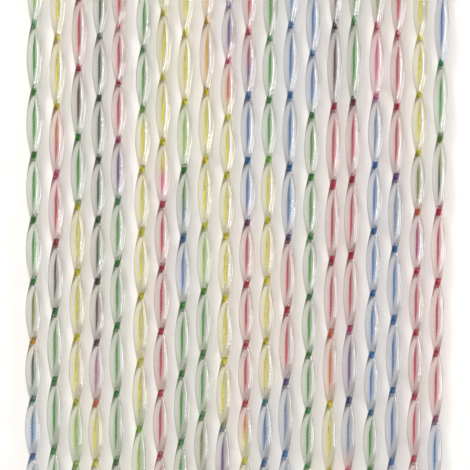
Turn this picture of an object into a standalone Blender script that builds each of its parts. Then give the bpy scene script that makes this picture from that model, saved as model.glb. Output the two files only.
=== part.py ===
"""A hanging curtain of twisted clear PVC strands, each with a dyed core, fused into a header strip."""

import math
from collections import namedtuple

import bmesh
import bpy
from mathutils import Matrix

MM = 0.001
COLLECTION_NAME = "strip_curtain"

# Header strip: the strands are fused into it, and its top edge is what hangs
HEADER_WIDTH = 220 * MM
HEADER_THICKNESS = 5 * MM
HEADER_HEIGHT = 18 * MM
HEADER_EDGE = 0.8 * MM

# Strands: each pair of cords is one flat bar, which turns half round from one neck to the next
STRAND_PITCH = 11 * MM
STRAND_WIDTH = 7.0 * MM
STRAND_THICKNESS = 3.2 * MM
STRAND_LENGTH = 382 * MM
STRAND_ROOT = 5 * MM
STEPS_TO_FIRST_NECK = 3
STEPS_PER_LOBE = 5
SHORTEST_LOBE = 27 * MM
LONGEST_LOBE = 42 * MM

# Cores: yarn along each strand's middle, loose in a bore that ends blind in the header
CORE_RADIUS = 0.9 * MM
CORE_SIDES = 8
CORE_ROOT = 8 * MM
CORE_CLEARANCE = 0.33 * MM
BORE_OVERRUN = 1 * MM

# One row a strand, from left to right, in millimetres: the core's main dye, the sideways shift
# from even spacing under the header and at the foot, the depth of the first neck below the
# header, the length of the lobe after it, and what each next lobe gains on the one before
Strand = namedtuple("Strand", "dye top_shift foot_shift first_neck lobe growth")
STRANDS = (
    Strand("green", 0.0, 0.0, 40.5, 34.7, -0.7),
    Strand("green", 1.2, -0.2, 47.0, 34.8, 0.2),
    Strand("yellow", 1.2, 0.3, 24.5, 36.5, -0.5),
    Strand("green", 1.0, -0.6, 17.5, 31.5, 0.0),
    Strand("green", -0.5, -0.5, 22.0, 26.1, 1.2),
    Strand("yellow", 1.5, 0.1, 28.0, 28.7, 0.9),
    Strand("red", 0.4, 0.3, 34.5, 33.1, -0.1),
    Strand("green", 0.8, -0.1, 43.0, 34.9, 0.1),
    Strand("green", 1.0, -0.5, 34.5, 36.8, -0.8),
    Strand("yellow", 1.2, -0.5, 10.5, 26.0, 1.0),
    Strand("red", 0.0, 0.4, 42.0, 34.1, -0.6),
    Strand("yellow", 0.3, -0.7, 18.0, 30.8, 0.1),
    Strand("blue", 0.0, -1.0, 36.0, 36.3, 0.2),
    Strand("green", 0.0, -0.2, 21.5, 33.0, -0.5),
    Strand("red", 0.5, -0.2, 29.5, 42.7, -1.2),
    Strand("red", -0.8, -1.1, 28.0, 41.9, -0.9),
    Strand("blue", 0.0, -0.8, 35.5, 37.1, -1.1),
    Strand("blue", -0.5, -0.3, 40.0, 36.4, 0.1),
    Strand("yellow", -0.1, 0.2, 22.0, 27.6, 0.7),
    Strand("red", 0.0, 0.0, 51.0, 39.3, -0.8),
)

# Base colour, roughness and alpha of the clear strands, and the base colours of the dyes
PVC_LOOK = ((0.86, 0.88, 0.86), 0.12, 0.35)
DYES = {
    "green": (0.03, 0.25, 0.02),
    "yellow": (0.66, 0.60, 0.03),
    "red": (0.60, 0.01, 0.05),
    "blue": (0.03, 0.16, 0.50),
}
CORE_ROUGHNESS = 0.35


def clear_scene():
    """Remove every object that the scene starts with."""
    for item in list(bpy.data.objects):
        bpy.data.objects.remove(item)


def make_collection(name):
    """Make a collection under the scene's own."""
    collection = bpy.data.collections.new(name)
    bpy.context.scene.collection.children.link(collection)
    return collection


def make_material(name, colour, roughness, alpha=1.0):
    """Make a plain Principled material."""
    material = bpy.data.materials.new(name)
    material.use_nodes = True
    shader = material.node_tree.nodes["Principled BSDF"]
    shader.inputs["Base Color"].default_value = (*colour, 1.0)
    shader.inputs["Roughness"].default_value = roughness
    shader.inputs["Metallic"].default_value = 0.0
    shader.inputs["Alpha"].default_value = alpha
    return material


def make_object(name, bm, collection):
    """Turn a bmesh into a named object in a collection."""
    mesh = bpy.data.meshes.new(name)
    bm.to_mesh(mesh)
    bm.free()
    item = bpy.data.objects.new(name, mesh)
    collection.objects.link(item)
    return item


def twist_runs(strand):
    """Yield the height, the part of a half turn and the steps of each evenly twisted run, downwards."""
    depth = strand.first_neck * MM
    lobe = strand.lobe * MM
    yield depth, 0.5, STEPS_TO_FIRST_NECK
    while depth + lobe < STRAND_LENGTH:
        yield lobe, 1.0, STEPS_PER_LOBE
        depth += lobe
        lobe = min(max(lobe + strand.growth * MM, SHORTEST_LOBE), LONGEST_LOBE)
    rest = STRAND_LENGTH - depth
    yield rest, rest / lobe, math.ceil(STEPS_PER_LOBE * rest / lobe)


def strand_place(index):
    """Matrix that leans a strand made straight down from the origin and sets it under the header."""
    strand = STRANDS[index]
    middle = (len(STRANDS) - 1) / 2
    across = (index - middle) * STRAND_PITCH + strand.top_shift * MM
    lean = (strand.foot_shift - strand.top_shift) * MM / STRAND_LENGTH
    place = Matrix.Translation((across, 0, -HEADER_HEIGHT))
    place[0][2] = -lean
    return place


def add_twisted_strand(bm, index):
    """Add one strand: a flat section carried down in steps, turning about the strand's own axis."""
    section = bmesh.ops.create_grid(bm, x_segments=1, y_segments=1, size=0.5)["verts"]
    bmesh.ops.scale(bm, vec=(STRAND_WIDTH, STRAND_THICKNESS, 1), verts=section)
    bmesh.ops.translate(bm, vec=(0, 0, STRAND_ROOT), verts=section)
    made = list(section)
    face = section[0].link_faces[0]
    runs = [(STRAND_ROOT, 0.0, 1), *twist_runs(STRANDS[index])]
    for height, half_turns, steps in runs:
        turn = Matrix.Rotation(-math.pi * half_turns / steps, 3, "Z")
        for _ in range(steps):
            drawn = bmesh.ops.extrude_face_region(bm, geom=[face, *face.edges])["geom"]
            verts = [part for part in drawn if isinstance(part, bmesh.types.BMVert)]
            face = next(part for part in drawn if isinstance(part, bmesh.types.BMFace))
            bmesh.ops.translate(bm, vec=(0, 0, -height / steps), verts=verts)
            bmesh.ops.rotate(bm, cent=(0, 0, 0), matrix=turn, verts=verts)
            made += verts
    bmesh.ops.transform(bm, matrix=strand_place(index), verts=made)


def add_core(bm, index, radius, top, bottom):
    """Add a straight prism along a strand's axis, between two heights from the header's lower edge."""
    made = bmesh.ops.create_cone(
        bm,
        cap_ends=True,
        segments=CORE_SIDES,
        radius1=radius,
        radius2=radius,
        depth=top - bottom,
    )["verts"]
    bmesh.ops.translate(bm, vec=(0, 0, (top + bottom) / 2), verts=made)
    bmesh.ops.transform(bm, matrix=strand_place(index), verts=made)


def build_header(collection):
    """The header strip, with its long edges softened."""
    bm = bmesh.new()
    block = bmesh.ops.create_cube(bm, size=1)["verts"]
    bmesh.ops.scale(bm, vec=(HEADER_WIDTH, HEADER_THICKNESS, HEADER_HEIGHT), verts=block)
    bmesh.ops.translate(bm, vec=(0, 0, -HEADER_HEIGHT / 2), verts=block)
    header = make_object("strand_row", bm, collection)
    soften = header.modifiers.new("soft_edges", "BEVEL")
    soften.width = HEADER_EDGE
    soften.segments = 1
    return header


def build_strands(collection):
    """All twisted strands in one helper object, their bent quads split along the outward diagonal."""
    bm = bmesh.new()
    for index in range(len(STRANDS)):
        add_twisted_strand(bm, index)
    bmesh.ops.triangulate(bm, faces=bm.faces[:], quad_method="SHORT_EDGE")
    bmesh.ops.recalc_face_normals(bm, faces=bm.faces[:])
    return make_object("strand_helper", bm, collection)


def build_bores(collection):
    """The blind bores that the cores lie in, one along each strand."""
    bm = bmesh.new()
    for index in range(len(STRANDS)):
        top = CORE_ROOT + CORE_CLEARANCE
        bottom = -STRAND_LENGTH - BORE_OVERRUN
        add_core(bm, index, CORE_RADIUS + CORE_CLEARANCE, top, bottom)
    return make_object("bore_helper", bm, collection)


def add_boolean(item, name, operation, helper):
    """Join or cut an object with a helper, and keep the helper out of sight."""
    change = item.modifiers.new(name, "BOOLEAN")
    change.operation = operation
    change.solver = "EXACT"
    change.object = helper
    helper.hide_render = True
    helper.display_type = "WIRE"


def build_strand_row(collection, helpers):
    """The header strip and the strands as one solid, bored for the cores."""
    row = build_header(collection)
    add_boolean(row, "fuse_strands", "UNION", build_strands(helpers))
    add_boolean(row, "bore_strands", "DIFFERENCE", build_bores(helpers))
    colour, roughness, alpha = PVC_LOOK
    row.data.materials.append(make_material("clear_pvc", colour, roughness, alpha))


def build_cores(collection):
    """The dyed cores, one object a strand, cut off level with the strands."""
    looks = {dye: make_material(f"{dye}_yarn", colour, CORE_ROUGHNESS) for dye, colour in DYES.items()}
    for index, strand in enumerate(STRANDS):
        bm = bmesh.new()
        add_core(bm, index, CORE_RADIUS, CORE_ROOT, -STRAND_LENGTH)
        core = make_object(f"core_{index + 1:02d}", bm, collection)
        core.data.shade_smooth()
        core.data.set_sharp_from_angle(angle=math.radians(60))
        core.data.materials.append(looks[strand.dye])


def main():
    """Build the curtain."""
    clear_scene()
    parts = make_collection(COLLECTION_NAME)
    helpers = make_collection("helpers")
    build_strand_row(parts, helpers)
    build_cores(parts)


main()
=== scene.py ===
"""Looks of a hanging curtain of clear PVC strands, each of twin cords and a space-dyed yarn.

The strands hang from a heat-welded header strip. Lengths in the charts are millimetres, and every
mesh is made in metres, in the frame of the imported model: X across the row, Y to the back, Z up.
"""

import logging
import math
from dataclasses import dataclass, field
from enum import Enum

import bpy
import numpy as np
from mathutils import Euler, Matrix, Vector


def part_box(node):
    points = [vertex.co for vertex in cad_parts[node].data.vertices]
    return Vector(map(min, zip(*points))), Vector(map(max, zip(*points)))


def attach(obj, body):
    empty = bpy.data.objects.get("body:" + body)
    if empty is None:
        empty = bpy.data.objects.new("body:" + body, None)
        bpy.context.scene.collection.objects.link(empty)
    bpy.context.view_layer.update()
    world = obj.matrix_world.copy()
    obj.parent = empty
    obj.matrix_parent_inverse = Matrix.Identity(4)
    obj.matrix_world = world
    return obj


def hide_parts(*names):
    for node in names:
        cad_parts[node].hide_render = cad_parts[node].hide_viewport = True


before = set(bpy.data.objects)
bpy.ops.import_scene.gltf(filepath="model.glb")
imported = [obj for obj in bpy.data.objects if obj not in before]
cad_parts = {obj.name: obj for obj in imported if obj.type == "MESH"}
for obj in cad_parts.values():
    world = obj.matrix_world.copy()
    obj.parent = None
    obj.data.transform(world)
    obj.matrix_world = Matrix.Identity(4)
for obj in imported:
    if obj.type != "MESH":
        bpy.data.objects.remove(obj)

LOG = logging.getLogger("strip_curtain")
MM = 0.001
# Mesh attribute of a yarn: 0 on its bare core, WRAP_BACK on a wrap's back, 1 on its folded edge.
# The yarn's material uses it to paint shade on the wraps' backs and light on their folded edges
WRAP = "wrap"
WRAP_BACK = 0.5
# Mesh attribute of a cord: how near a point lies to the yarn, from 0 on its outer side to 1. It
# places the painted glow of the yarn's colour in the PVC
NEAR = "near"

# The box of the CAD model, read before anything is added to it
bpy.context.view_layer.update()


class Slot(Enum):
    """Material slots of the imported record."""

    PVC = "clear_pvc"
    GREEN = "yarn_green"
    YELLOW = "yarn_yellow"
    RED = "yarn_red"
    BLUE = "yarn_blue"


class Dye(Enum):
    """Dye baths of the space-dyed yarn, as sRGB hex colours of the dry thread."""

    GREEN = "229614"
    FOREST = "0c4a14"
    LIME = "94c81a"
    YELLOW = "e8dc0c"
    AMBER = "e0a81a"
    ORANGE = "e0701e"
    RED = "c8003e"
    PINK = "e8508a"
    MAGENTA = "b00e6c"
    MAROON = "50081c"
    MAUVE = "b06a98"
    PURPLE = "602c84"
    INDIGO = "2c3288"
    SLATE = "6a86b0"
    BLUE = "1674b8"
    TEAL = "187a80"
    OLIVE = "788414"


def linear(hex_colour: str) -> tuple[float, float, float, float]:
    """Turn an sRGB hex colour into linear RGBA.

    Args:
        hex_colour: Six hex digits, without a leading mark.

    Returns:
        Linear red, green and blue with an alpha of one.
    """
    channels = [int(hex_colour[i : i + 2], 16) / 255 for i in (0, 2, 4)]
    curve = [c / 12.92 if c <= 0.04045 else ((c + 0.055) / 1.055) ** 2.4 for c in channels]
    return (*curve, 1.0)


def add_node(
    tree: bpy.types.NodeTree,
    kind: str,
    values: dict | None = None,
    links: dict | None = None,
    **settings: object,
) -> bpy.types.Node:
    """Add one node with its settings, socket values and incoming links.

    Args:
        tree: The node tree that gets the node.
        kind: Blender's type name of the node.
        values: Values for input sockets, by name or index.
        links: Output sockets to link into input sockets, by name or index.
        **settings: Properties set on the node itself.

    Returns:
        The new node.
    """
    node = tree.nodes.new(kind)
    for name, value in settings.items():
        setattr(node, name, value)
    for socket, value in (values or {}).items():
        node.inputs[socket].default_value = value
    for socket, source in (links or {}).items():
        tree.links.new(source, node.inputs[socket])
    return node


def new_material(name: str) -> tuple[bpy.types.Material, bpy.types.NodeTree]:
    """Make a material with an empty node tree.

    Args:
        name: The material's name.

    Returns:
        The material and its tree.
    """
    material = bpy.data.materials.new(name)
    material.use_nodes = True
    material.node_tree.nodes.clear()
    return material, material.node_tree


@dataclass(frozen=True)
class DyeRun:
    """One stretch of colour along a yarn.

    Attributes:
        start: Depth below the header at which the dye takes over, in millimetres.
        dye: The dye bath.
    """

    start: float
    dye: Dye


def runs(*pairs: tuple[float, Dye]) -> tuple[DyeRun, ...]:
    """Turn pairs of start depth and dye into dye runs.

    Args:
        *pairs: Start depth in millimetres and dye, from the header down.

    Returns:
        The runs in the same order.
    """
    return tuple(DyeRun(start, dye) for start, dye in pairs)


@dataclass(frozen=True)
class StrandChart:
    """How one strand hangs, twists and is dyed, in millimetres below the header strip.

    Attributes:
        slot: Material slot of the yarn, after its main dye.
        top_shift: Sideways shift from even spacing at the header.
        foot_shift: Sideways shift from even spacing at the foot.
        first_neck: Depth of the first place where one cord hides the other.
        lobe: Length from there to the next neck.
        growth: What each next lobe gains on the one before.
        dyes: The dye runs of the core, from the header down.
    """

    slot: Slot
    top_shift: float
    foot_shift: float
    first_neck: float
    lobe: float
    growth: float
    dyes: tuple[DyeRun, ...]


CHARTS = (
    StrandChart(Slot.GREEN, 0.0, 0.0, 40.5, 34.7, -0.7, runs(
        (0, Dye.LIME), (63, Dye.GREEN), (210, Dye.OLIVE), (235, Dye.AMBER), (242, Dye.FOREST),
        (258, Dye.TEAL), (277, Dye.BLUE))),
    StrandChart(Slot.GREEN, 1.2, -0.2, 47.0, 34.8, 0.2, runs(
        (0, Dye.YELLOW), (118, Dye.ORANGE), (134, Dye.RED), (148, Dye.PINK), (160, Dye.RED),
        (188, Dye.MAROON), (206, Dye.FOREST), (222, Dye.GREEN))),
    StrandChart(Slot.YELLOW, 1.2, 0.3, 24.5, 36.5, -0.5, runs(
        (0, Dye.RED), (100, Dye.MAROON), (125, Dye.GREEN), (165, Dye.YELLOW), (271, Dye.LIME))),
    StrandChart(Slot.GREEN, 1.0, -0.6, 17.5, 31.5, 0.0, runs(
        (0, Dye.FOREST), (208, Dye.MAROON), (239, Dye.MAUVE), (264, Dye.ORANGE),
        (274, Dye.YELLOW))),
    StrandChart(Slot.GREEN, -0.5, -0.5, 22.0, 26.1, 1.2, runs(
        (0, Dye.RED), (130, Dye.MAGENTA), (137, Dye.PURPLE), (162, Dye.GREEN), (300, Dye.FOREST))),
    StrandChart(Slot.YELLOW, 1.5, 0.1, 28.0, 28.7, 0.9, runs(
        (0, Dye.GREEN), (116, Dye.LIME), (123, Dye.YELLOW), (270, Dye.LIME))),
    StrandChart(Slot.RED, 0.4, 0.3, 34.5, 33.1, -0.1, runs(
        (0, Dye.YELLOW), (148, Dye.PINK), (164, Dye.RED))),
    StrandChart(Slot.GREEN, 0.8, -0.1, 43.0, 34.9, 0.1, runs(
        (0, Dye.YELLOW), (115, Dye.LIME), (143, Dye.GREEN), (165, Dye.TEAL), (181, Dye.BLUE),
        (213, Dye.GREEN))),
    StrandChart(Slot.GREEN, 1.0, -0.5, 34.5, 36.8, -0.8, runs(
        (0, Dye.AMBER), (104, Dye.YELLOW), (178, Dye.LIME), (210, Dye.GREEN), (279, Dye.OLIVE))),
    StrandChart(Slot.YELLOW, 1.2, -0.5, 10.5, 26.0, 1.0, runs(
        (0, Dye.PURPLE), (87, Dye.PINK), (95, Dye.ORANGE), (114, Dye.YELLOW), (279, Dye.TEAL),
        (288, Dye.PURPLE))),
    StrandChart(Slot.RED, 0.0, 0.4, 42.0, 34.1, -0.6, runs(
        (0, Dye.RED), (82, Dye.MAGENTA), (94, Dye.PURPLE), (107, Dye.BLUE), (166, Dye.PURPLE),
        (177, Dye.RED), (271, Dye.ORANGE), (284, Dye.YELLOW))),
    StrandChart(Slot.YELLOW, 0.3, -0.7, 18.0, 30.8, 0.1, runs(
        (0, Dye.GREEN), (139, Dye.LIME), (147, Dye.YELLOW), (263, Dye.TEAL), (272, Dye.BLUE))),
    StrandChart(Slot.BLUE, 0.0, -1.0, 36.0, 36.3, 0.2, runs(
        (0, Dye.BLUE), (178, Dye.PURPLE), (186, Dye.RED), (252, Dye.PURPLE), (260, Dye.SLATE),
        (288, Dye.BLUE))),
    StrandChart(Slot.GREEN, 0.0, -0.2, 21.5, 33.0, -0.5, runs(
        (0, Dye.BLUE), (116, Dye.GREEN))),
    StrandChart(Slot.RED, 0.5, -0.2, 29.5, 42.7, -1.2, runs(
        (0, Dye.MAROON), (112, Dye.RED), (229, Dye.ORANGE), (265, Dye.YELLOW))),
    StrandChart(Slot.RED, -0.8, -1.1, 28.0, 41.9, -0.9, runs(
        (0, Dye.GREEN), (107, Dye.MAROON), (115, Dye.RED), (225, Dye.MAGENTA), (234, Dye.PURPLE),
        (262, Dye.INDIGO), (270, Dye.SLATE), (296, Dye.PINK))),
    StrandChart(Slot.BLUE, 0.0, -0.8, 35.5, 37.1, -1.1, runs(
        (0, Dye.OLIVE), (69, Dye.RED), (76, Dye.PINK), (111, Dye.SLATE), (141, Dye.BLUE),
        (275, Dye.GREEN))),
    StrandChart(Slot.BLUE, -0.5, -0.3, 40.0, 36.4, 0.1, runs(
        (0, Dye.RED), (147, Dye.PURPLE), (156, Dye.SLATE), (184, Dye.BLUE))),
    StrandChart(Slot.YELLOW, -0.1, 0.2, 22.0, 27.6, 0.7, runs(
        (0, Dye.YELLOW), (140, Dye.OLIVE), (164, Dye.ORANGE), (170, Dye.MAGENTA), (196, Dye.RED))),
    StrandChart(Slot.RED, 0.0, 0.0, 51.0, 39.3, -0.8, runs(
        (0, Dye.BLUE), (90, Dye.GREEN), (129, Dye.OLIVE), (148, Dye.FOREST), (163, Dye.RED),
        (271, Dye.MAGENTA), (277, Dye.BLUE))),
)


@dataclass(frozen=True)
class DyeMap:
    """Where each dye lies down one strand, as shader nodes.

    Attributes:
        dyes: The strand's dye runs.
        top: Height of the header's lower edge in metres.
        length: Length of the strand in metres.
        blend_mm: Length over which one dye bleeds into the next.
    """

    dyes: tuple[DyeRun, ...]
    top: float
    length: float
    blend_mm: float = 8.0

    def add_to(self, tree: bpy.types.NodeTree, place: bpy.types.Node) -> bpy.types.NodeSocket:
        """Add the map to a material.

        Args:
            tree: The material's node tree.
            place: Its texture coordinate node.

        Returns:
            The socket that gives the dye at each height.
        """
        axes = add_node(tree, "ShaderNodeSeparateXYZ", links={0: place.outputs["Object"]})
        depth = add_node(
            tree,
            "ShaderNodeMapRange",
            values={"From Min": self.top, "From Max": self.top - self.length},
            links={"Value": axes.outputs["Z"]},
        )
        ramp = add_node(tree, "ShaderNodeValToRGB", links={0: depth.outputs[0]})
        self.fill(ramp.color_ramp)
        return ramp.outputs[0]

    def fill(self, ramp: bpy.types.ColorRamp) -> None:
        """Set a ramp's stops from the dye runs, with a short blend where one dye gives way to the
        next.

        Args:
            ramp: The colour ramp, from the header at 0 to the foot at 1.
        """
        full = self.length / MM
        ramp.elements[0].position = 0.0
        ramp.elements[0].color = linear(self.dyes[0].dye.value)
        ramp.elements[1].position = 1.0
        ramp.elements[1].color = linear(self.dyes[-1].dye.value)
        for before, after in zip(self.dyes, self.dyes[1:]):
            for offset, run in ((-self.blend_mm / 2, before), (self.blend_mm / 2, after)):
                stop = ramp.elements.new((after.start + offset) / full)
                stop.color = linear(run.dye.value)


@dataclass(frozen=True)
class ClearPVC:
    """Flexible plasticised PVC, hot extruded: a clear, glossy solid that bends what is behind it.

    Attributes:
        tint: Colour of the clear compound, near neutral.
        roughness: Extruded skin, near polished.
        ior: Refractive index of soft, highly plasticised PVC.
        wave_mm: Spacing of the die's slow surface waves.
        wave_height_mm: Height of those waves.
        wave_detail: Layers of finer noise in them.
        yarn_glow: Share of the yarn's dye painted into the PVC beside the yarn, a painted glow in
            place of light scattered off the yarn.
        outer_yarn_glow: Share of that painted glow that reaches the cord's outer side.
    """

    tint: str = "e6e5e2"
    roughness: float = 0.07
    ior: float = 1.5
    wave_mm: float = 9.0
    wave_height_mm: float = 0.02
    wave_detail: float = 1.0
    yarn_glow: float = 0.36
    outer_yarn_glow: float = 0.03

    def build(self, number: int, dyes: DyeMap) -> bpy.types.Material:
        """Build the material of one strand's cords.

        Args:
            number: The strand's number, from 1.
            dyes: Where each dye of its yarn lies.

        Returns:
            A transmissive material, tinted by the yarn's painted glow, whose soft waves break up
            the refraction.
        """
        material, tree = new_material(f"clear_extruded_pvc_{number:02d}")
        place = add_node(tree, "ShaderNodeTexCoord")
        near = add_node(tree, "ShaderNodeAttribute", attribute_name=NEAR)
        # Painted glow: the PVC takes on the yarn's dye, most beside the yarn, in place of light
        # scattered off the yarn
        painted_yarn_glow = add_node(
            tree,
            "ShaderNodeMapRange",
            values={"To Min": self.outer_yarn_glow, "To Max": self.yarn_glow},
            links={"Value": near.outputs["Fac"]},
        )
        body = add_node(
            tree,
            "ShaderNodeMixRGB",
            values={"Color1": linear(self.tint)},
            links={"Fac": painted_yarn_glow.outputs[0], "Color2": dyes.add_to(tree, place)},
        )
        waves = add_node(
            tree,
            "ShaderNodeTexNoise",
            values={"Scale": 1 / (self.wave_mm * MM), "Detail": self.wave_detail},
            links={"Vector": place.outputs["Object"]},
        )
        relief = add_node(
            tree,
            "ShaderNodeBump",
            values={"Strength": 1.0, "Distance": self.wave_height_mm * MM},
            links={"Height": waves.outputs[0]},
        )
        # The index and the low roughness give gloss and clarity, so lamps draw narrow streaks on it
        shader = add_node(
            tree,
            "ShaderNodeBsdfPrincipled",
            values={"Roughness": self.roughness, "IOR": self.ior, "Transmission Weight": 1.0},
            links={"Base Color": body.outputs[0], "Normal": relief.outputs[0]},
        )
        add_node(tree, "ShaderNodeOutputMaterial", links={"Surface": shader.outputs[0]})
        return material


@dataclass(frozen=True)
class SpaceDyedYarn:
    """Viscose gimp dyed in stretches: wraps of thread with the paler core between them, with
    painted shade on the wraps' backs and painted light on their folded edges.

    Attributes:
        roughness: Wound viscose under clear PVC.
        specular_level: Gloss of the thread, next to none where the PVC wets it.
        fleck_mm: Spacing of the patches where the thread took up less or more dye.
        fleck_detail: Layers of finer noise in the flecks.
        fleck_span: Noise at which a fleck is darkest, and at which it is gone.
        fleck_share: How far a fleck darkens the dye.
        core: Colour of the bare core that the thread is wound on.
        core_share: How far the core shows between two wraps.
        painted_wrap_shade: How far painted shade darkens the dye on a wrap's back.
        painted_edge_shade: How far painted shade darkens the dye where the wraps fold over the
            yarn's edge, a place painted as lit.
    """

    roughness: float = 0.45
    specular_level: float = 0.12
    fleck_mm: float = 2.5
    fleck_detail: float = 2.0
    fleck_span: tuple[float, float] = (0.3, 0.7)
    fleck_share: float = 0.35
    core: str = "a09a8c"
    core_share: float = 0.36
    painted_wrap_shade: float = 0.66
    painted_edge_shade: float = 0.05

    def build(self, number: int, dyes: DyeMap) -> bpy.types.Material:
        """Build the material of one yarn.

        Args:
            number: The strand's number, from 1.
            dyes: Where each of its dyes lies.

        Returns:
            A material whose colour follows the dye runs down the object's height, with painted
            shade on the wraps' backs and painted light on their folded edges.
        """
        material, tree = new_material(f"space_dyed_gimp_{number:02d}")
        place = add_node(tree, "ShaderNodeTexCoord")
        flecks = add_node(
            tree,
            "ShaderNodeTexNoise",
            values={"Scale": 1 / (self.fleck_mm * MM), "Detail": self.fleck_detail},
            links={"Vector": place.outputs["Object"]},
        )
        shade = add_node(
            tree,
            "ShaderNodeMapRange",
            values={
                "From Min": self.fleck_span[0],
                "From Max": self.fleck_span[1],
                "To Min": 1 - self.fleck_share,
                "To Max": 1.0,
            },
            links={"Value": flecks.outputs[0]},
        )
        wraps = add_node(tree, "ShaderNodeAttribute", attribute_name=WRAP)
        cover = add_node(
            tree,
            "ShaderNodeMapRange",
            values={"From Max": WRAP_BACK, "To Min": 1 - self.core_share, "To Max": 1.0},
            links={"Value": wraps.outputs["Fac"]},
        )
        # Painted shade darkens the wraps' backs, and painted light keeps their folded edges near
        # the full dye. The bare core keeps its own colour
        painted_light_and_shade = add_node(tree, "ShaderNodeValToRGB", links={0: wraps.outputs["Fac"]})
        stops = painted_light_and_shade.color_ramp.elements
        stops.new(WRAP_BACK).color = (*[1 - self.painted_wrap_shade] * 3, 1.0)
        stops[0].color = (1.0, 1.0, 1.0, 1.0)
        stops[2].color = (*[1 - self.painted_edge_shade] * 3, 1.0)
        flecks_and_painted_shade = add_node(
            tree,
            "ShaderNodeMath",
            operation="MULTIPLY",
            links={0: shade.outputs[0], 1: painted_light_and_shade.outputs[0]},
        )
        thread = add_node(
            tree,
            "ShaderNodeVectorMath",
            operation="SCALE",
            links={0: dyes.add_to(tree, place), "Scale": flecks_and_painted_shade.outputs[0]},
        )
        colour = add_node(
            tree,
            "ShaderNodeMixRGB",
            values={"Color1": linear(self.core)},
            links={"Fac": cover.outputs[0], "Color2": thread.outputs[0]},
        )
        # Wound thread scatters the light, so the dye shows matt and even from every side
        shader = add_node(
            tree,
            "ShaderNodeBsdfPrincipled",
            values={"Roughness": self.roughness, "Specular IOR Level": self.specular_level},
            links={"Base Color": colour.outputs[0]},
        )
        add_node(tree, "ShaderNodeOutputMaterial", links={"Surface": shader.outputs[0]})
        return material


def skin_rings(name: str, *stacks: np.ndarray) -> bpy.types.Mesh:
    """Skin stacks of rings into closed, smooth tubes with flat ends, all in one mesh.

    Args:
        name: The mesh's name.
        *stacks: Points as (ring, point, xyz), from the top down, anticlockwise from above.

    Returns:
        The mesh of all the tubes.
    """
    points, faces, caps = [], [], []
    for rings in stacks:
        first = sum(len(part) for part in points)
        count, around, _ = rings.shape
        upper = first + np.arange((count - 1) * around).reshape(count - 1, around)
        beside = np.roll(upper, -1, axis=1)
        quads = np.stack([upper, upper + around, beside + around, beside], axis=-1)
        faces += quads.reshape(-1, 4).tolist()
        last = first + (count - 1) * around
        caps += [list(range(first, first + around)), list(range(last + around - 1, last - 1, -1))]
        points.append(rings.reshape(-1, 3))
    mesh = bpy.data.meshes.new(name)
    mesh.from_pydata(np.concatenate(points).tolist(), [], faces + caps)
    mesh.shade_smooth()
    for cap in mesh.polygons[-len(caps):]:
        cap.use_smooth = False
    mesh.update()
    return mesh


def add_piece(
    name: str,
    mesh: bpy.types.Mesh,
    material: bpy.types.Material,
) -> bpy.types.Object:
    """Link a piece to the scene, dress it and let it ride the curtain's body.

    Args:
        name: The piece's name.
        mesh: Its mesh.
        material: Its material.

    Returns:
        The new object.
    """
    piece = bpy.data.objects.new(name, mesh)
    bpy.context.scene.collection.objects.link(piece)
    mesh.materials.append(material)
    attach(piece, "root")
    return piece


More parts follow.
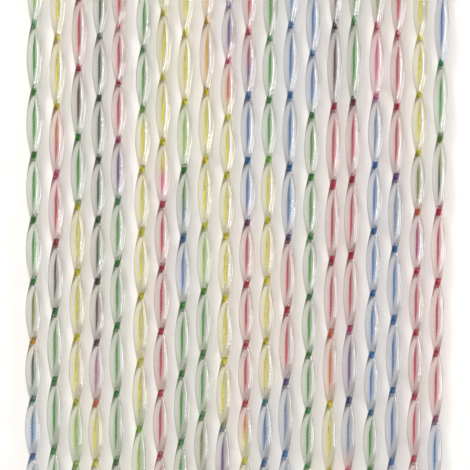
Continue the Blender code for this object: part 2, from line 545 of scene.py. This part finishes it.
@dataclass
class TwistedStrand:
    """Two clear cords laid either side of a wound yarn and twisted with it.

    The strand turns half round from one neck, where one cord hides the other, to the next.

    Attributes:
        number: The strand's number, from 1 at the left.
        chart: How it hangs, twists and is dyed.
        top: Height of the header's lower edge, in metres.
        length: Length below the header, in metres.
        pitch: Even spacing of the strands.
        cord_radius: Radius of each clear cord.
        cord_offset: Distance of each cord's middle from the strand's own.
        cord_points: Points round a cord.
        near_power: How fast the mark of nearness to the yarn falls off round a cord.
        steps_per_lobe: Rings of a cord from neck to neck.
        root: How far the cords reach into the header.
        shortest_lobe: Shortest length from neck to neck, in millimetres.
        longest_lobe: Longest length from neck to neck, in millimetres.
        yarn_half_width: Half of the yarn's width, from cord to cord.
        yarn_half_thickness: Half of the yarn's thickness, from front to back of the strand.
        wrap_height: How far the wraps of the gimp swell and sink.
        wrap_pitch: Distance from wrap to wrap.
        wrap_steps: Rings of the yarn for each wrap.
        yarn_points: Points round the yarn.
        fold_power: How narrow the folded edges of its wraps are, where the yarn's material paints
            light.
        yarn_root: How far the yarn reaches into the header.
        yarn_proud: How far the yarn stands out of the strand's cut foot.
    """

    number: int
    chart: StrandChart
    top: float
    length: float
    pitch: float = 11.0 * MM
    cord_radius: float = 1.56 * MM
    cord_offset: float = 2.28 * MM
    cord_points: int = 18
    near_power: int = 2
    steps_per_lobe: int = 22
    root: float = 2.0 * MM
    shortest_lobe: float = 27.0
    longest_lobe: float = 42.0
    yarn_half_width: float = 0.62 * MM
    yarn_half_thickness: float = 0.4 * MM
    wrap_height: float = 0.14 * MM
    wrap_pitch: float = 1.83 * MM
    wrap_steps: int = 6
    yarn_points: int = 8
    fold_power: int = 8
    yarn_root: float = 8.0 * MM
    yarn_proud: float = 0.15 * MM

    def necks(self) -> tuple[list[float], list[float]]:
        """List where the strand's turn is known.

        Returns:
            Depths below the header in metres, and the turn in radians there.
        """
        depths = [0.0, self.chart.first_neck * MM]
        turns = [0.0, math.pi / 2]
        lobe = self.chart.lobe
        while depths[-1] < self.length:
            depths.append(depths[-1] + lobe * MM)
            turns.append(turns[-1] + math.pi)
            lobe = min(max(lobe + self.chart.growth, self.shortest_lobe), self.longest_lobe)
        return depths, turns

    def centre(self, depth: np.ndarray) -> np.ndarray:
        """Work out the strand's centre line.

        Args:
            depth: Depths below the header in metres.

        Returns:
            Points as (depth, xyz).
        """
        even = (self.number - 1 - (len(CHARTS) - 1) / 2) * self.pitch
        drift = (self.chart.foot_shift - self.chart.top_shift) * depth / self.length
        across = even + (self.chart.top_shift + drift) * MM
        return np.stack([across, np.zeros_like(depth), self.top - depth], axis=-1)

    def twist(self, depth: np.ndarray, across: np.ndarray, deep: np.ndarray) -> np.ndarray:
        """Turn a section with the strand's twist and set it on the strand's centre line.

        Args:
            depth: Depths below the header in metres.
            across: The section's points from cord to cord, for one or for every depth.
            deep: The section's points from front to back.

        Returns:
            Points as (depth, point, xyz).
        """
        knots, turns = self.necks()
        # The twist runs right-handed, so the turn falls as the depth grows
        turn = -np.interp(depth, knots, turns)[:, None]
        x = across * np.cos(turn) - deep * np.sin(turn)
        y = across * np.sin(turn) + deep * np.cos(turn)
        return np.stack([x, y, np.zeros_like(x)], axis=-1) + self.centre(depth)[:, None, :]

    def build_cords(self) -> bpy.types.Mesh:
        """Build the two clear cords.

        Returns:
            A mesh of two closed tubes, whose attribute "near" says how near a point is to the yarn.
        """
        rings = round(self.length / (self.chart.lobe * MM) * self.steps_per_lobe)
        depth = np.linspace(-self.root, self.length, rings)
        angle = np.linspace(0, 2 * math.pi, self.cord_points, endpoint=False)
        across = self.cord_radius * np.cos(angle)
        deep = self.cord_radius * np.sin(angle)
        tubes = [self.twist(depth, across + side * self.cord_offset, deep) for side in (-1, 1)]
        mesh = skin_rings(f"cords_{self.number:02d}", *tubes)
        nearness = [((1 - side * np.cos(angle)) / 2) ** self.near_power for side in (-1, 1)]
        shares = np.concatenate([np.tile(share, rings) for share in nearness])
        near = mesh.attributes.new(NEAR, "FLOAT", "POINT")
        near.data.foreach_set("value", shares)
        return mesh

    def build_yarn(self) -> bpy.types.Mesh:
        """Build the wound yarn, its wraps swelling and sinking along a helix.

        Returns:
            A closed mesh, whose attribute "wrap" says what a point shows of the winding and where
            painted shade and painted light fall.
        """
        start, end = -self.yarn_root, self.length + self.yarn_proud
        rings = round((end - start) / self.wrap_pitch * self.wrap_steps)
        depth = np.linspace(start, end, rings)
        phase = (depth / self.wrap_pitch * 2 * math.pi)[:, None]
        angle = np.linspace(0, 2 * math.pi, self.yarn_points, endpoint=False)[None, :]
        swell = np.cos(phase + angle)
        across = (self.yarn_half_width + self.wrap_height * swell) * np.cos(angle)
        deep = (self.yarn_half_thickness + self.wrap_height * swell) * np.sin(angle)
        mesh = skin_rings(f"yarn_{self.number:02d}", self.twist(depth, across, deep))
        # The mark sets where the bare core shows, where painted shade falls on the wraps' backs and
        # where painted light falls on their folded edges
        cover = np.maximum((swell + 1) / 2 * WRAP_BACK, np.cos(angle) ** self.fold_power)
        wrap = mesh.attributes.new(WRAP, "FLOAT", "POINT")
        wrap.data.foreach_set("value", cover.ravel())
        return mesh

    def build(self, pvc: ClearPVC, yarn: SpaceDyedYarn) -> None:
        """Build and dress the strand's two pieces.

        Args:
            pvc: The finish of the clear cords.
            yarn: The finish of the yarn.
        """
        dyes = DyeMap(self.chart.dyes, self.top, self.length)
        clear = pvc.build(self.number, dyes)
        cords = add_piece(f"cords_{self.number:02d}", self.build_cords(), clear)
        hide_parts("strand_row")
        dyed = yarn.build(self.number, dyes)
        core = add_piece(f"yarn_{self.number:02d}", self.build_yarn(), dyed)
        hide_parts(f"core_{self.number:02d}")
        for piece in (cords, core):
            LOG.info("%s: %d faces", piece.name, len(piece.data.polygons))


@dataclass(frozen=True)
class Softbox:
    """A square lamp behind white cloth, aimed at the curtain.

    Attributes:
        name: The lamp's name.
        azimuth: Its side in degrees, from the front at 0 to the right at 90.
        elevation: Its height in degrees above the level of the aim.
        watts: Its power.
        distance: How far it stands from the aim, in metres.
        size: The side of its square, in metres.
        colour: Its sRGB hex colour.
    """

    name: str
    azimuth: float
    elevation: float
    watts: float
    distance: float = 1.4
    size: float = 0.4
    colour: str = "f4f8ff"

    def build(self, aim: Vector) -> None:
        """Hang the lamp.

        Args:
            aim: Point that it shines at, in metres.
        """
        light = bpy.data.lights.new(self.name, "AREA")
        light.size = self.size
        light.energy = self.watts
        light.color = linear(self.colour)[:3]
        lamp = bpy.data.objects.new(self.name, light)
        side, rise = math.radians(self.azimuth), math.radians(self.elevation)
        level = math.cos(rise)
        way = Vector((math.sin(side) * level, -math.cos(side) * level, math.sin(rise)))
        lamp.location = aim + way * self.distance
        lamp.rotation_euler = way.to_track_quat("Z", "Y").to_euler()
        bpy.context.scene.collection.objects.link(lamp)


@dataclass(frozen=True)
class FrostedPVC:
    """PVC strip with a matt calendered skin: it glows and blurs what is inside it.

    Attributes:
        tint: Milky clear.
        roughness: Matt roller finish.
        ior: Refractive index of PVC.
        clarity: Share of the light that passes into the strip.
        grain_mm: Spacing of the roller's grain, coarser than the real 0.2 mm so that it shows.
        grain_height_mm: Height of the grain.
        grain_strength: How much of that height the finish keeps.
        grain_detail: Layers of finer noise in the grain.
    """

    tint: str = "eef1ee"
    roughness: float = 0.38
    ior: float = 1.53
    clarity: float = 0.7
    grain_mm: float = 0.8
    grain_height_mm: float = 0.05
    grain_strength: float = 0.5
    grain_detail: float = 3.0

    def build(self) -> bpy.types.Material:
        """Build the material.

        Returns:
            A half clear material with a fine grain.
        """
        material, tree = new_material("frosted_pvc")
        place = add_node(tree, "ShaderNodeTexCoord")
        grain = add_node(
            tree,
            "ShaderNodeTexNoise",
            values={"Scale": 1 / (self.grain_mm * MM), "Detail": self.grain_detail},
            links={"Vector": place.outputs["Object"]},
        )
        relief = add_node(
            tree,
            "ShaderNodeBump",
            values={"Strength": self.grain_strength, "Distance": self.grain_height_mm * MM},
            links={"Height": grain.outputs[0]},
        )
        # The matt skin spreads what comes through, so the strip glows and shows no sharp shape
        shader = add_node(
            tree,
            "ShaderNodeBsdfPrincipled",
            values={
                "Base Color": linear(self.tint),
                "Roughness": self.roughness,
                "IOR": self.ior,
                "Transmission Weight": self.clarity,
            },
            links={"Normal": relief.outputs[0]},
        )
        add_node(tree, "ShaderNodeOutputMaterial", links={"Surface": shader.outputs[0]})
        return material


@dataclass
class HeaderStrip:
    """The flat strip that the strands are welded into.

    Attributes:
        low: Lowest corner of the header in metres.
        high: Highest corner of the header in metres.
        edge: Radius of its long edges.
        edge_points: Points round each of those edges.
    """

    low: Vector
    high: Vector
    edge: float = 0.8 * MM
    edge_points: int = 4

    def build(self, finish: FrostedPVC) -> None:
        """Build and dress the strip.

        Args:
            finish: The strip's finish.
        """
        size = self.high - self.low
        half_y, half_z = size.y / 2, size.z / 2
        corner = np.linspace(0, math.pi / 2, self.edge_points)
        profile = []
        for quarter in range(4):
            turn = quarter * math.pi / 2 + corner
            sign_y = 1 if quarter in (0, 3) else -1
            sign_z = 1 if quarter in (0, 1) else -1
            profile += [
                (sign_y * (half_y - self.edge) + self.edge * math.cos(a),
                 sign_z * (half_z - self.edge) + self.edge * math.sin(a))
                for a in turn
            ]
        middle = (self.low + self.high) / 2
        across = np.array([self.low.x, self.high.x])
        points = np.zeros((2, len(profile), 3))
        for ring, x in enumerate(across):
            points[ring, :, 0] = x
            points[ring, :, 1] = [middle.y + y for y, _ in profile]
            points[ring, :, 2] = [middle.z + z for _, z in profile]
        mesh = skin_rings("header_strip", points)
        piece = add_piece("header_strip", mesh, finish.build())
        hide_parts("strand_row")
        LOG.info("%s: %d faces", piece.name, len(mesh.polygons))


@dataclass
class Studio:
    """A pale board close behind the curtain, a pale floor, soft lamps and the camera.

    Attributes:
        aim: Point that the camera looks at, in metres.
        distance: Distance of the camera from it.
        frame_height: Height of the photo's frame at that distance.
        pitch: How far the camera looks down, in degrees.
        roll: How far the camera leans, in degrees.
        sensor_mm: Width of the camera's sensor, in millimetres.
        near_clip: Nearest distance that the camera sees.
        board_gap: Distance of the board's face behind the strands' middle.
        board_size: The board's width and height.
        board_colour: Matt warm grey, which the lamps lift to the photo's pale ground.
        floor_height: Height of the floor, well below the curtain's foot.
        floor_size: The floor's width and length.
        floor_colour: Off-white.
        floor_roughness: Matt.
        sky: Elevation in degrees and strength, from straight down to straight up.
        softboxes: The lamps.
        bounces: How often light may pass from surface to surface, enough for a row of cords.
    """

    aim: Vector
    distance: float = 1.0
    frame_height: float = 242.5 * MM
    pitch: float = 3.4
    roll: float = 0.61
    sensor_mm: float = 36.0
    near_clip: float = 0.05
    board_gap: float = 4.7 * MM
    board_size: tuple[float, float] = (1.2, 0.9)
    board_colour: str = "c5c0bb"
    floor_height: float = -0.6
    floor_size: tuple[float, float] = (6.0, 6.0)
    floor_colour: str = "f2efea"
    floor_roughness: float = 0.8
    sky: tuple[tuple[float, float], ...] = (
        (-90, 0.1), (-8, 0.1), (2, 0.2), (10, 1.15), (45, 1.15), (55, 0.3), (90, 0.2)
    )
    # The left lamp rakes the board, so each strand throws a soft pale band into a gap by a neck
    softboxes: tuple[Softbox, ...] = (
        Softbox("key", -10.0, 20.0, 8.5, size=0.6),
        Softbox("left", -38.0, 25.0, 13.5),
        Softbox("right", 60.0, 5.0, 9.0),
    )
    bounces: int = 16

    def plane(
        self,
        name: str,
        size: tuple[float, float],
        place: Vector,
        turn: Euler,
    ) -> bpy.types.Object:
        """Add a flat stage panel.

        Args:
            name: The panel's name.
            size: Its width and length in metres.
            place: Its centre.
            turn: Its rotation.

        Returns:
            The panel.
        """
        half_x, half_y = size[0] / 2, size[1] / 2
        mesh = bpy.data.meshes.new(name)
        signs = ((-1, -1), (1, -1), (1, 1), (-1, 1))
        corners = [(side * half_x, end * half_y, 0) for side, end in signs]
        mesh.from_pydata(corners, [], [(0, 1, 2, 3)])
        panel = bpy.data.objects.new(name, mesh)
        panel.location = place
        panel.rotation_euler = turn
        bpy.context.scene.collection.objects.link(panel)
        return panel

    def build_board(self) -> None:
        """Set a matt board behind the curtain, which shows only from its front."""
        material, tree = new_material("matt_board")
        side = add_node(tree, "ShaderNodeNewGeometry")
        # Matt paint gives an even ground without gloss. Its back is clear and stops no light
        colour = linear(self.board_colour)
        paint = add_node(tree, "ShaderNodeBsdfDiffuse", values={"Color": colour})
        clear = add_node(tree, "ShaderNodeBsdfTransparent")
        either = add_node(
            tree,
            "ShaderNodeMixShader",
            links={0: side.outputs["Backfacing"], 1: paint.outputs[0], 2: clear.outputs[0]},
        )
        add_node(tree, "ShaderNodeOutputMaterial", links={"Surface": either.outputs[0]})
        place = Vector((0, self.board_gap, self.aim.z))
        board = self.plane("board", self.board_size, place, Euler((math.pi / 2, 0, 0)))
        board.data.materials.append(material)

    def build_floor(self) -> None:
        """Lay a pale floor under the curtain."""
        material, tree = new_material("pale_floor")
        # Matt paint is pale and even, and shows no image of the curtain
        paint = add_node(
            tree,
            "ShaderNodeBsdfPrincipled",
            values={"Base Color": linear(self.floor_colour), "Roughness": self.floor_roughness},
        )
        add_node(tree, "ShaderNodeOutputMaterial", links={"Surface": paint.outputs[0]})
        place = Vector((0, 0, self.floor_height))
        floor = self.plane("floor", self.floor_size, place, Euler((0, 0, 0)))
        floor.data.materials.append(material)

    def build_world(self) -> None:
        """Surround the set with a bright band above eye level, over a dim floor side."""
        world = bpy.data.worlds.new("studio_band")
        world.use_nodes = True
        tree = world.node_tree
        tree.nodes.clear()
        way = add_node(tree, "ShaderNodeTexCoord")
        axes = add_node(tree, "ShaderNodeSeparateXYZ", links={0: way.outputs["Generated"]})
        rise = add_node(
            tree,
            "ShaderNodeMapRange",
            values={"From Min": -1.0},
            links={"Value": axes.outputs["Z"]},
        )
        ramp = add_node(tree, "ShaderNodeValToRGB", links={0: rise.outputs[0]})
        peak = max(strength for _, strength in self.sky)
        stops = [
            ((math.sin(math.radians(angle)) + 1) / 2, strength / peak)
            for angle, strength in self.sky
        ]
        elements = ramp.color_ramp.elements
        for element, (place, share) in zip(elements, (stops[0], stops[-1])):
            element.position = place
            element.color = (share, share, share, 1.0)
        for place, share in stops[1:-1]:
            elements.new(place).color = (share, share, share, 1.0)
        glow = add_node(
            tree,
            "ShaderNodeBackground",
            values={"Strength": peak},
            links={"Color": ramp.outputs[0]},
        )
        add_node(tree, "ShaderNodeOutputWorld", links={"Surface": glow.outputs[0]})
        bpy.context.scene.world = world

    def build_camera(self) -> None:
        """Set the camera a little above the curtain's middle, looking slightly down."""
        data = bpy.data.cameras.new("camera")
        data.sensor_width = self.sensor_mm
        data.lens = self.sensor_mm * self.distance / self.frame_height
        data.clip_start = self.near_clip
        camera = bpy.data.objects.new("camera", data)
        down = math.radians(self.pitch)
        back = Vector((0, -math.cos(down), math.sin(down)))
        camera.location = self.aim + back * self.distance
        look = (-back).to_track_quat("-Z", "Y").to_matrix()
        roll = Euler((0, 0, math.radians(self.roll))).to_matrix()
        camera.rotation_euler = (look @ roll).to_euler()
        bpy.context.scene.collection.objects.link(camera)
        bpy.context.scene.camera = camera

    def build(self) -> None:
        """Build the whole set."""
        self.build_camera()
        self.build_board()
        self.build_floor()
        self.build_world()
        for softbox in self.softboxes:
            softbox.build(self.aim)
        scene = bpy.context.scene
        scene.view_settings.view_transform = "Standard"
        scene.cycles.max_bounces = self.bounces
        scene.cycles.transmission_bounces = self.bounces
        # Light that the strands focus on the board stays sharp
        scene.cycles.blur_glossy = 0.0


@dataclass
class StripCurtain:
    """The whole curtain: its header strip and its strands.

    Attributes:
        header_height: Height of the header strip in metres.
        header_thickness: Thickness of the header strip in metres.
        photo_middle: Depth of the photo's middle below the header, in metres.
        photo_shift: Place of the photo's middle across the row, in metres.
        pvc: Finish of the strands' cords.
        yarn: Finish of their yarns.
        frosted: Finish of the header strip.
    """

    header_height: float = 18.0 * MM
    header_thickness: float = 5.0 * MM
    photo_middle: float = 181.25 * MM
    photo_shift: float = -0.4 * MM
    pvc: ClearPVC = field(default_factory=ClearPVC)
    yarn: SpaceDyedYarn = field(default_factory=SpaceDyedYarn)
    frosted: FrostedPVC = field(default_factory=FrostedPVC)

    def build(self) -> None:
        """Build the studio round the curtain, then every piece of it."""
        low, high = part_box("strand_row")
        top = high.z - self.header_height
        Studio(aim=Vector((self.photo_shift, 0, top - self.photo_middle))).build()
        header_low = Vector((low.x, -self.header_thickness / 2, top))
        header_high = Vector((high.x, self.header_thickness / 2, high.z))
        HeaderStrip(header_low, header_high).build(self.frosted)
        for number, chart in enumerate(CHARTS, start=1):
            TwistedStrand(number, chart, top, top - low.z).build(self.pvc, self.yarn)


def main() -> None:
    """Build the curtain and its set, and report each piece."""
    logging.basicConfig(level=logging.INFO, format="%(name)s: %(message)s")
    StripCurtain().build()


if __name__ == "__main__":
    main()
